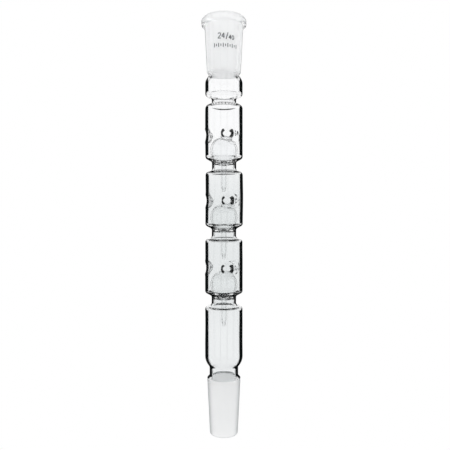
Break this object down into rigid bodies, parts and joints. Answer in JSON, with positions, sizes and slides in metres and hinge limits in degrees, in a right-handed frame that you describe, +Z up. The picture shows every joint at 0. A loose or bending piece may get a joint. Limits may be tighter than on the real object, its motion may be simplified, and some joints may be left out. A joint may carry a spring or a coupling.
{
  "type": "distilling column",
  "caption": "Straight glass distilling column with a ground taper socket, a ground taper cone, and stacked chambers whose hollow ball floats rest on funnel seats.",
  "frame": {"origin": "on the column's axis at the gauge plane of the lower cone, which is the wide end of its ground taper", "axes": "+Z up the column's axis towards the socket, +Y away from the side with the printed size, +X to the right of that side"},
  "size_m": [0.0324, 0.0324, 0.2992],
  "materials": {
    "clear_glass": "clear fire-polished borosilicate glass",
    "ground_glass": "evenly ground to a white matt taper, fire-polished rim",
    "float_glass": "thin clear blown glass"
  },
  "bodies": {
    "column": {"socket_joint": "ground_glass", "head_barrel": "clear_glass", "chamber_1": "clear_glass", "seat_1": "clear_glass", "chamber_2": "clear_glass", "seat_2": "clear_glass", "chamber_3": "clear_glass", "seat_3": "clear_glass", "lower_barrel": "clear_glass", "cone_joint": "ground_glass"},
    "float_1": {"float_ball_1": "float_glass", "float_stem_1": "float_glass"},
    "float_2": {"float_ball_2": "float_glass", "float_stem_2": "float_glass"},
    "float_3": {"float_ball_3": "float_glass", "float_stem_3": "float_glass"}
  },
  "joints": [
    {"name": "float_1_lift", "type": "slide", "parent": "column", "child": "float_1", "axis": [0, 0, 1], "range_m": [0, 0.00309]},
    {"name": "float_2_lift", "type": "slide", "parent": "column", "child": "float_2", "axis": [0, 0, 1], "range_m": [0, 0.00429]},
    {"name": "float_3_lift", "type": "slide", "parent": "column", "child": "float_3", "axis": [0, 0, 1], "range_m": [0, 0.00469]}
  ]
}
